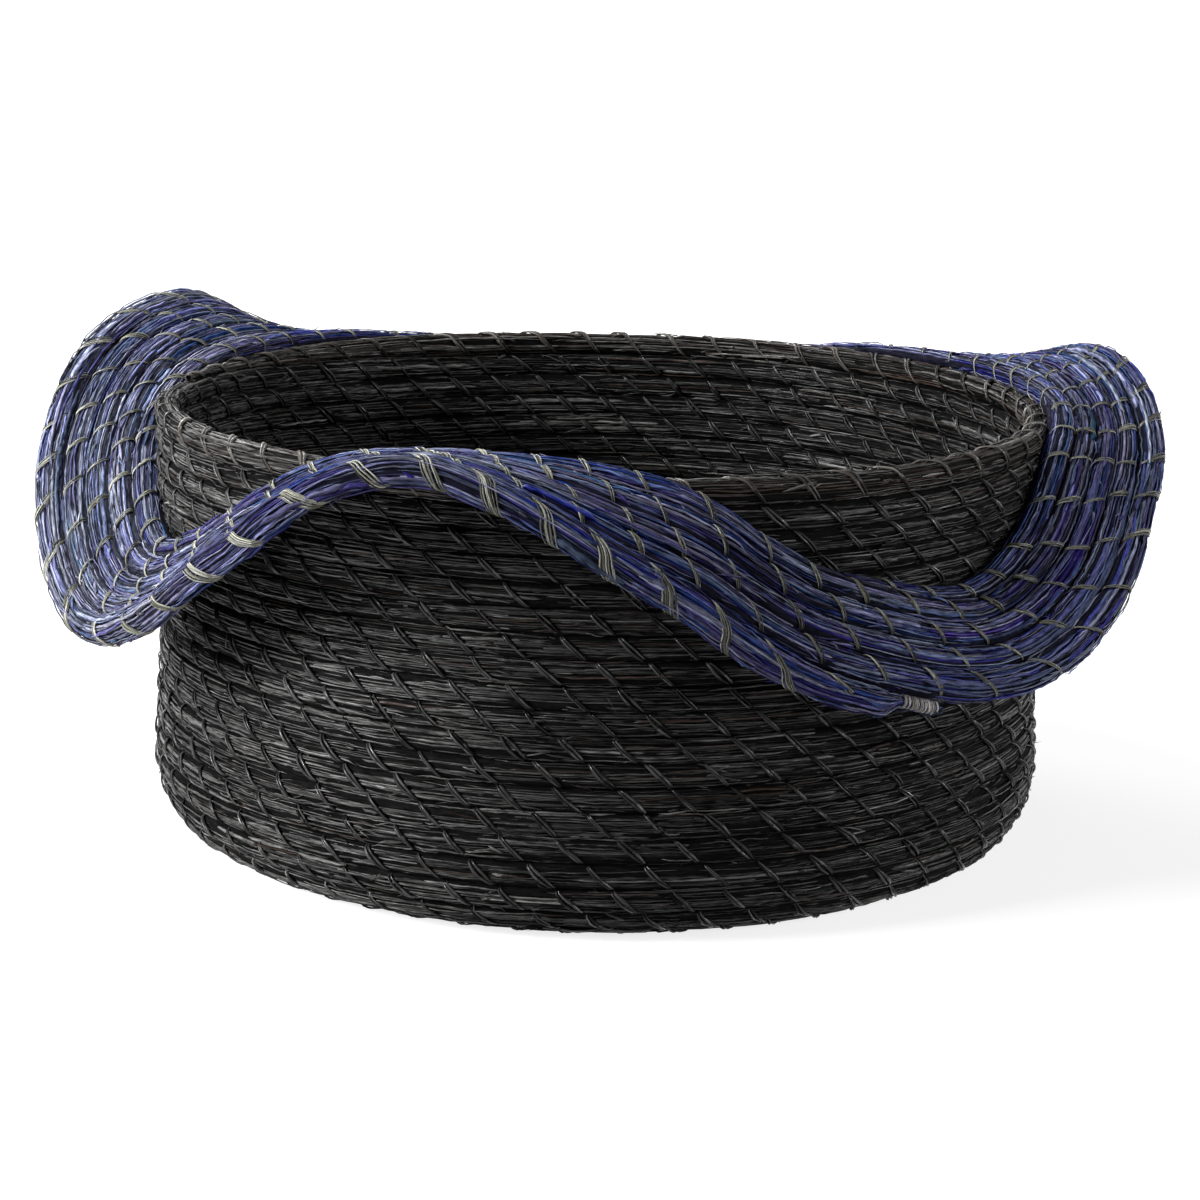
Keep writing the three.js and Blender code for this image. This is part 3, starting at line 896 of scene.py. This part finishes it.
def grass_colour_group():
    """Colour of a blade from its own number: usual, pale or odd, with streaks, and paler where light is
    painted on the lit side.
    """
    group, given, result = new_group(
        "Grass Colour",
        [
            ("Usual", "Color", (0.1, 0.1, 0.1, 1)), ("Pale", "Color", (0.2, 0.2, 0.2, 1)),
            ("Odd", "Color", (0.1, 0.1, 0.1, 1)), ("Odd Share", "Float", 0.1), ("Number", "Float", 0.5),
            ("Streaks", "Float", 0.5), ("Painted Light", "Float", 0.0), ("Pale Share", "Float", 0.7),
        ],
        [("Color", "Color"), ("Gloss", "Float")],
    )
    spread = node_in(group, "TexWhiteNoise", {"W": given["Number"]}, noise_dimensions="1D").outputs["Value"]
    paleness = math_node(group, "POWER", spread, 3.5)
    # Painted highlight: on the lit side the blades are painted paler and their streaks stronger
    painted_light_tint = math_node(group, "MULTIPLY", given["Painted Light"], 0.30)
    lit_streak_gain = math_node(group, "MULTIPLY_ADD", given["Painted Light"], 0.8, 0.085)
    tint = math_node(group, "MULTIPLY_ADD", given["Streaks"], lit_streak_gain, painted_light_tint)
    number = given["Number"]
    age = own_number(group, number, 89.0)
    tint = math_node(group, "MULTIPLY", tint, ranged(group, age, 0.6, 1.4))
    paleness = math_node(group, "MULTIPLY_ADD", paleness, given["Pale Share"], tint, clamp=True)
    usual = mixed(group, paleness, given["Usual"], given["Pale"])
    is_odd = math_node(group, "LESS_THAN", own_number(group, number, 13.0), given["Odd Share"])
    coloured = mixed(group, math_node(group, "MULTIPLY", is_odd, 0.85), usual, given["Odd"])
    hue = ranged(group, own_number(group, number, 71.0), 0.475, 0.53)
    dye = ranged(group, age, 1.3, 0.55)
    coloured = node_in(group, "HueSaturation", {"Hue": hue, "Saturation": dye, "Color": coloured}).outputs[0]
    level = ranged(group, own_number(group, number, 31.0), 0.35, 1.4)
    # Painted highlight: on the lit side the darkest streaks are lifted and the palest held back
    darkest = math_node(group, "MULTIPLY_ADD", given["Painted Light"], 0.2, 0.15)
    palest = math_node(group, "MULTIPLY_ADD", given["Painted Light"], -0.3, 1.55)
    level = math_node(group, "MULTIPLY", level, ranged(group, given["Streaks"], darkest, palest))
    shaded = node_in(group, "VectorMath", {0: coloured, "Scale": level}, operation="SCALE").outputs[0]
    group.links.new(shaded, result["Color"])
    shiny = math_node(group, "POWER", own_number(group, number, 53.0), 2.0)
    gloss = math_node(group, "MULTIPLY", shiny, given["Streaks"])
    group.links.new(gloss, result["Gloss"])
    return group


def with_alpha(colour):
    return (*colour, 1.0)


def new_material(name):
    material = bpy.data.materials.new(name)
    material.use_nodes = True
    return material, material.node_tree, material.node_tree.nodes["Principled BSDF"]


def fibre_material(
    name, usual, pale, odd, odd_share, roughness, shine,
    fineness=3.0, bump=0.6, lit_reach=BLACK_LIT_SIDE, pale_share=0.7,
):
    """Grass or strand material: colour by fibre, streaks along it, and a little relief."""
    if name in bpy.data.materials:
        return bpy.data.materials[name]
    groups = bpy.data.node_groups
    grain = groups.get("Fibre Grain") or fibre_grain_group()
    lit_group = groups.get("Lit Side Paleness") or painted_light_group()
    colour = groups.get("Grass Colour") or grass_colour_group()
    material, tree, shader = new_material(name)
    streaks = group_node(tree, grain, {"Fineness": fineness})
    # Painted highlight: paler patches towards the side that the key lamp lights
    lit_patches = group_node(tree, lit_group, {"Light Start": lit_reach[0], "Light End": lit_reach[1]})
    links = {
        "Usual": with_alpha(usual), "Pale": with_alpha(pale), "Odd": with_alpha(odd),
        "Odd Share": odd_share, "Pale Share": pale_share, "Number": streaks["Number"],
        "Streaks": streaks["Streaks"], "Painted Light": lit_patches["Painted Light"],
    }
    coloured = group_node(tree, colour, links)
    relief = {"Height": streaks["Streaks"], "Strength": bump, "Distance": 0.15 * MM}
    look = {
        "Base Color": coloured["Color"], "Normal": node_in(tree, "Bump", relief).outputs[0],
        "Roughness": ranged(tree, streaks["Streaks"], roughness + 0.12, roughness - 0.08),
        "Specular IOR Level": 0.03, "Coat Roughness": roughness,
    }
    if shine:
        look["Coat Weight"] = math_node(tree, "MULTIPLY", coloured["Gloss"], shine, clamp=True)
    set_inputs(tree, shader, look)
    return material


def blades_material(name, look, colour, odd_share, roughness, shine, lit_reach=BLACK_LIT_SIDE):
    colours = colour, look.pale_colour, look.odd_colour
    return fibre_material(name, *colours, odd_share, roughness, shine, lit_reach=lit_reach)


def black_blades():
    look = bpy.context.scene.basket_black
    return blades_material("black_grass_blades", look, look.colour, 0.07, 0.32, 1.0)


def rim_blades():
    look = bpy.context.scene.basket_black
    return blades_material("rim_grass_blades", look, look.rim_colour, 0.25, 0.34, 1.0)


def blue_blades():
    look = bpy.context.scene.basket_blue
    return blades_material("blue_grass_blades", look, look.colour, 0.06, 0.34, 0.6, BLUE_LIT_SIDE)


def core_material(name, colour, pale, lit_reach):
    """The inside of a bundle, seen between its blades, painted nearly black as shade, darker than the
    grass's own colour.
    """
    return fibre_material(name, colour, pale, colour, 0.0, 0.75, 0.0, lit_reach=lit_reach, pale_share=0.0)


def black_core():
    # Painted shade: near-black, darker than the black blades
    return core_material("black_core_painted_shade", (0.004, 0.004, 0.004), (0.012, 0.012, 0.012), BLACK_LIT_SIDE)


def blue_core():
    # Painted shade: near-black indigo, far darker than the blue blades
    return core_material("blue_core_painted_shade", (0.004, 0.004, 0.012), (0.080, 0.086, 0.125), BLUE_LIT_SIDE)


def strand_material(name, colour):
    dark = tuple(0.35 * part for part in colour)
    # Partly painted highlight: pale segments fall at random like straw tone, but are made bright enough to
    # stand for glints
    pale = tuple(min(5 * part, 0.8) for part in colour)
    return fibre_material(name, colour, pale, dark, 0.25, 0.25, 1.8, fineness=9.0, bump=0.35)


# Windings that several pieces share


@functools.cache
def black():
    """The black winding, the same with the laps of the rim's stitches, and its blades."""
    look = bpy.context.scene.basket_black
    winding = black_winding()
    turn, floor = 0.0, []
    while turn > -FLOOR_ROUNDS + 0.4:
        radius = outline_at(rounds_passed(np.array(turn), WALL_RAMP))[0]
        share = 2 ** max(0, math.ceil(math.log2(0.62 * RIM_RADIUS / radius)))
        turn -= share / (look.stitches + 0.5 * (share - 1))
        floor.append(turn)
    turns = np.concatenate((floor[::-1], np.arange(0, WALL_ROUNDS, 1 / look.stitches)))
    winding.set_stitches(turns, 0.05, WALL_LAP, np.random.default_rng(31))
    rim = copy.copy(winding)
    rim.lap = straight_lap(*RIM_LAP)
    return winding, rim, Blades(winding, look, np.random.default_rng(12))


@functools.cache
def blue():
    """The blue winding, the same with the laps of the outermost round's stitches, and its blades."""
    look = bpy.context.scene.basket_blue
    winding = blue_winding()
    spacing = (1 + BRIM_ADVANCE / look.stitches) / look.stitches
    turns = np.arange(winding.turns[0], winding.turns[-1], spacing)
    winding.set_stitches(turns, 0.06, BRIM_LAP, np.random.default_rng(32))
    edge = copy.copy(winding)
    edge.lap = straight_lap(*EDGE_LAP)
    return winding, edge, Blades(winding, look, np.random.default_rng(24))


def stitch_at(winding, turns):
    numbers = np.arange(len(winding.stitches))
    return float(np.interp(winding.distance_at(turns), winding.stitches, numbers))


# Operators


class BASKET_OT_floor_rows(bpy.types.Operator):
    """Floor: a spiral of the black bundle"""

    bl_idname = "basket.floor_rows"
    bl_label = "Floor Rows"

    def execute(self, context):
        winding, _, blades = black()
        look = context.scene.basket_black
        edges = np.linspace(0, winding.distance_at(0), FLOOR_PIECES + 1)
        materials = (black_blades(), black_core())
        for index, span in enumerate(zip(edges, edges[1:])):
            more = () if index else (floor_heart(),)
            make_rows(
                f"floor_rows_{index + 1}", winding, blades, look.cinch, span, materials,
                "floor_coil", rings=10, more=more,
            )
        return {"FINISHED"}


class BASKET_OT_wall_rows(bpy.types.Operator):
    """Wall: rounds of the black bundle from the heel to below the rim"""

    bl_idname = "basket.wall_rows"
    bl_label = "Wall Rows"

    def execute(self, context):
        winding, _, blades = black()
        look = context.scene.basket_black
        edges = winding.distance_at(np.linspace(0, WALL_ROUNDS - 1, WALL_PIECES + 1))
        materials = (black_blades(), black_core())
        for index, span in enumerate(zip(edges, edges[1:])):
            make_rows(
                f"wall_rows_{index + 1}", winding, blades, look.cinch, span, materials,
                "wall_coil",
            )
        return {"FINISHED"}


class BASKET_OT_rim_row(bpy.types.Operator):
    """Rim: the last round of the black bundle"""

    bl_idname = "basket.rim_row"
    bl_label = "Rim Row"

    def execute(self, context):
        _, winding, blades = black()
        span = (winding.distance_at(WALL_ROUNDS - 1), winding.length + MM)
        materials = (rim_blades(), black_core())
        make_rows("rim_row", winding, blades, RIM_CINCH, span, materials, "rim_coil")
        return {"FINISHED"}


class BASKET_OT_brim_rows(bpy.types.Operator):
    """Brim: rounds of the blue bundle, rising and dropping round the rim"""

    bl_idname = "basket.brim_rows"
    bl_label = "Brim Rows"

    def execute(self, context):
        winding, edge, blades = blue()
        look = context.scene.basket_blue
        edges = (0, *winding.distance_at(BRIM_CUTS), winding.length + MM)
        materials = (blue_blades(), blue_core())
        laid = (winding, winding, winding, edge)
        for index, span in enumerate(zip(edges, edges[1:])):
            make_rows(
                f"brim_rows_{index + 1}", laid[index], blades, look.cinch, span, materials,
                "brim_coil", rings=20, wall_side=2.1,
            )
        return {"FINISHED"}


class BASKET_OT_wall_stitches(bpy.types.Operator):
    """Stitches of floor and wall"""

    bl_idname = "basket.wall_stitches"
    bl_label = "Wall Stitches"

    def execute(self, context):
        winding, _, _ = black()
        cinch = context.scene.basket_black.cinch
        look = context.scene.basket_stitches
        material = strand_material("dark_strand", look.dark_colour)
        edges = (-FLOOR_ROUNDS + 0.5, *WALL_STITCH_CUTS, WALL_ROUNDS - 1)
        names = ("floor_stitches", "wall_stitches_1", "wall_stitches_2", "wall_stitches_3")
        rng = np.random.default_rng(41)
        for name, low, high in zip(names, edges, edges[1:]):
            span = (stitch_at(winding, low), stitch_at(winding, high))
            parts = strand_mesh(winding, span, 2, look.wall_width, cinch, rng)
            make_piece(name, parts, (material,))
        return {"FINISHED"}


class BASKET_OT_rim_wraps(bpy.types.Operator):
    """Close wraps over the rim"""

    bl_idname = "basket.rim_wraps"
    bl_label = "Rim Wraps"

    def execute(self, context):
        _, winding, _ = black()
        look = context.scene.basket_stitches
        material = strand_material("rim_strand", look.rim_colour)
        last = stitch_at(winding, WALL_ROUNDS - RIM_TAIL_TURNS) - 1
        span = (stitch_at(winding, WALL_ROUNDS - 1), last)
        rng = np.random.default_rng(42)
        parts = strand_mesh(winding, span, 2, look.rim_width, RIM_CINCH, rng, steps=24, over_top=True)
        make_piece("rim_wraps", parts, (material,))
        return {"FINISHED"}


class BASKET_OT_brim_stitches(bpy.types.Operator):
    """Stitches of the brim"""

    bl_idname = "basket.brim_stitches"
    bl_label = "Brim Stitches"

    def execute(self, context):
        winding, edge, _ = blue()
        cinch = context.scene.basket_blue.cinch
        look = context.scene.basket_stitches
        material = strand_material("olive_strand", look.olive_colour)
        cuts = (stitch_at(winding, cut) for cut in BRIM_STITCH_CUTS)
        edges = (0.5, *cuts, len(winding.stitches) - 1.8)
        inner = {"thickness": 0.4 * MM, "lift": 0.35 * MM, "narrow": 0.55}
        outer = {"thickness": 0.35 * MM, "narrow": 0.25, "over_top": True}
        rounds = (
            (winding, 5, look.brim_width, inner),
            (winding, 5, look.brim_width, inner),
            (edge, 9, look.edge_width, outer),
        )
        rng = np.random.default_rng(43)
        for index, (laid, strands, width, kind) in enumerate(rounds):
            span = edges[index : index + 2]
            parts = strand_mesh(laid, span, strands, width, cinch, rng, steps=28, **kind)
            make_piece(f"brim_stitches_{index + 1}", parts, (material,))
        return {"FINISHED"}


class BASKET_OT_tail_whipping(bpy.types.Operator):
    """Thread wound round the brim's tail"""

    bl_idname = "basket.tail_whipping"
    bl_label = "Tail Whipping"

    def execute(self, context):
        winding, _, _ = blue()
        material = strand_material("silver_thread", context.scene.basket_stitches.thread_colour)
        rng = np.random.default_rng(44)
        turns, steps, sides = WHIPPING_TURNS, 20, 6
        phase = np.linspace(0, turns, turns * steps + 1)
        wander = wobble(len(phase), 0.25 * MM, 9 * MM, rng)
        tone = rng.random(turns + 1)[np.floor(phase).astype(int)]
        distance = winding.length - TAIL_TIP - WHIPPING_LENGTH * (1 - phase / turns) + wander
        surface, along, away, _ = winding.skin(distance, 2 * np.pi * phase, 0)
        middle = (surface + away * 0.5 * MM)[:, None]
        spin = angles_round(sides)[:, None]
        ring = np.cos(spin) * away[:, None] + np.sin(spin) * along[:, None]
        points = middle + WHIPPING_THREAD_RADIUS * ring
        part = prisms(points, (phase * 0.02)[:, None], np.arange(sides) / sides, tone[:, None])
        make_piece("tail_whipping_thread", [part], (material,), "tail_whipping")
        return {"FINISHED"}


class BASKET_OT_stray_fibres(bpy.types.Operator):
    """Fibre ends that stand off the bundles"""

    bl_idname = "basket.stray_fibres"
    bl_label = "Stray Fibres"

    def execute(self, context):
        rng = np.random.default_rng(51)
        scene = context.scene
        bundles = (
            ("black", black()[0], black()[0].distance_at(0), 900, scene.basket_black, black_blades()),
            ("blue", blue()[0], 0, 600, scene.basket_blue, blue_blades()),
        )
        for name, winding, start, count, look, material in bundles:
            part = stray_mesh(winding, start, winding.length, count, rng, look.cinch)
            make_piece(f"{name}_fibre_ends", [part], (material,))
        return {"FINISHED"}


def area_lamp(name, place, size, power):
    light = bpy.data.lights.new(name, "AREA")
    light.shape = "RECTANGLE"
    light.size, light.size_y = size
    light.energy = power
    lamp = new_object(name, light)
    lamp.location = place
    lamp.rotation_euler = (LAMP_TARGET - Vector(place)).to_track_quat("-Z", "Y").to_euler()


def seen_directly(tree):
    """1 for rays of the camera, of mirrors and of glass, and 0 for light on the basket."""
    path = node_in(tree, "LightPath").outputs
    seen = math_node(tree, "MAXIMUM", path["Is Camera Ray"], path["Is Glossy Ray"])
    return math_node(tree, "MAXIMUM", seen, path["Is Transmission Ray"])


class BASKET_OT_stage(bpy.types.Operator):
    """Floor, lamps, background and camera"""

    bl_idname = "basket.stage"
    bl_label = "Stage"

    def execute(self, context):
        look = context.scene.basket_stage
        rim = outward(np.degrees(angles_round(STAGE_SIDES))) * STAGE_RADIUS + (0, 0, STAGE_LEVEL)
        mesh = bpy.data.meshes.new("floor")
        mesh.from_pydata(rim.tolist(), [], [list(range(STAGE_SIDES))])
        material, tree, shader = new_material("floor_paper")
        place = node_in(tree, "TexCoord").outputs["Object"]
        distance = node_in(tree, "VectorMath", {0: place}, operation="LENGTH").outputs["Value"]
        white = ranged(tree, distance, 0.8, 1.0, 0.3, 0.9)
        glow = math_node(tree, "MULTIPLY", seen_directly(tree), white)
        paper = {
            "Base Color": with_alpha(look.floor_colour), "Roughness": 0.9, "Specular IOR Level": 0.1,
            "Emission Color": (1, 1, 1, 1), "Emission Strength": glow,
        }
        set_inputs(tree, shader, paper)
        mesh.materials.append(material)
        new_object("floor", mesh)

        world = bpy.data.worlds.new("studio")
        context.scene.world = world
        world.use_nodes = True
        tree = world.node_tree
        level = ranged(tree, seen_directly(tree), WORLD_LEVEL * look.lamp_level, 1.0)
        set_inputs(tree, tree.nodes["Background"], {"Color": (1, 1, 1, 1), "Strength": level})

        for name, (place, size, power) in LAMPS.items():
            area_lamp(name, place, size, power * look.lamp_level)

        camera_data = bpy.data.cameras.new("camera")
        camera_data.sensor_width = SENSOR_WIDTH
        camera_data.lens = SENSOR_WIDTH * FOCAL_PIXELS / PICTURE_WIDTH
        camera = new_object("camera", camera_data)
        down, left, lean = (math.radians(angle) for angle in CAMERA_ANGLES)
        view = Matrix.Translation(CAMERA_PLACE)
        for angle, axis in ((-left, "Z"), (math.pi / 2 - down, "X"), (lean, "Z")):
            view = view @ Matrix.Rotation(angle, 4, axis)
        camera.matrix_world = view
        context.scene.camera = camera
        context.scene.view_settings.view_transform = "Standard"
        return {"FINISHED"}


OPERATORS = (
    BASKET_OT_stage,
    BASKET_OT_floor_rows,
    BASKET_OT_wall_rows,
    BASKET_OT_rim_row,
    BASKET_OT_brim_rows,
    BASKET_OT_wall_stitches,
    BASKET_OT_rim_wraps,
    BASKET_OT_brim_stitches,
    BASKET_OT_tail_whipping,
    BASKET_OT_stray_fibres,
)
SETTINGS = {
    "basket_black": BlackGrassSettings,
    "basket_blue": BlueGrassSettings,
    "basket_stitches": StitchSettings,
    "basket_stage": StageSettings,
}


class BASKET_PT_panel(bpy.types.Panel):
    """Pieces of the basket and their sizes and colours"""

    bl_idname = "BASKET_PT_panel"
    bl_label = "Coiled Grass Basket"
    bl_space_type = "VIEW_3D"
    bl_region_type = "UI"
    bl_category = "Basket"

    def draw(self, context):
        for operator in OPERATORS:
            self.layout.operator(operator.bl_idname)
        for name in SETTINGS:
            box = self.layout.box()
            settings = getattr(context.scene, name)
            for key in settings.__annotations__:
                box.prop(settings, key)


def register():
    for group in SETTINGS.values():
        bpy.utils.register_class(group)
    for name, group in SETTINGS.items():
        setattr(bpy.types.Scene, name, PointerProperty(type=group))
    for item in (*OPERATORS, BASKET_PT_panel):
        bpy.utils.register_class(item)


def unregister():
    for item in (BASKET_PT_panel, *reversed(OPERATORS)):
        bpy.utils.unregister_class(item)
    for name, group in SETTINGS.items():
        delattr(bpy.types.Scene, name)
        bpy.utils.unregister_class(group)


def main():
    register()
    for operator in OPERATORS:
        family, name = operator.bl_idname.split(".")
        getattr(getattr(bpy.ops, family), name)()


if __name__ == "__main__":
    main()
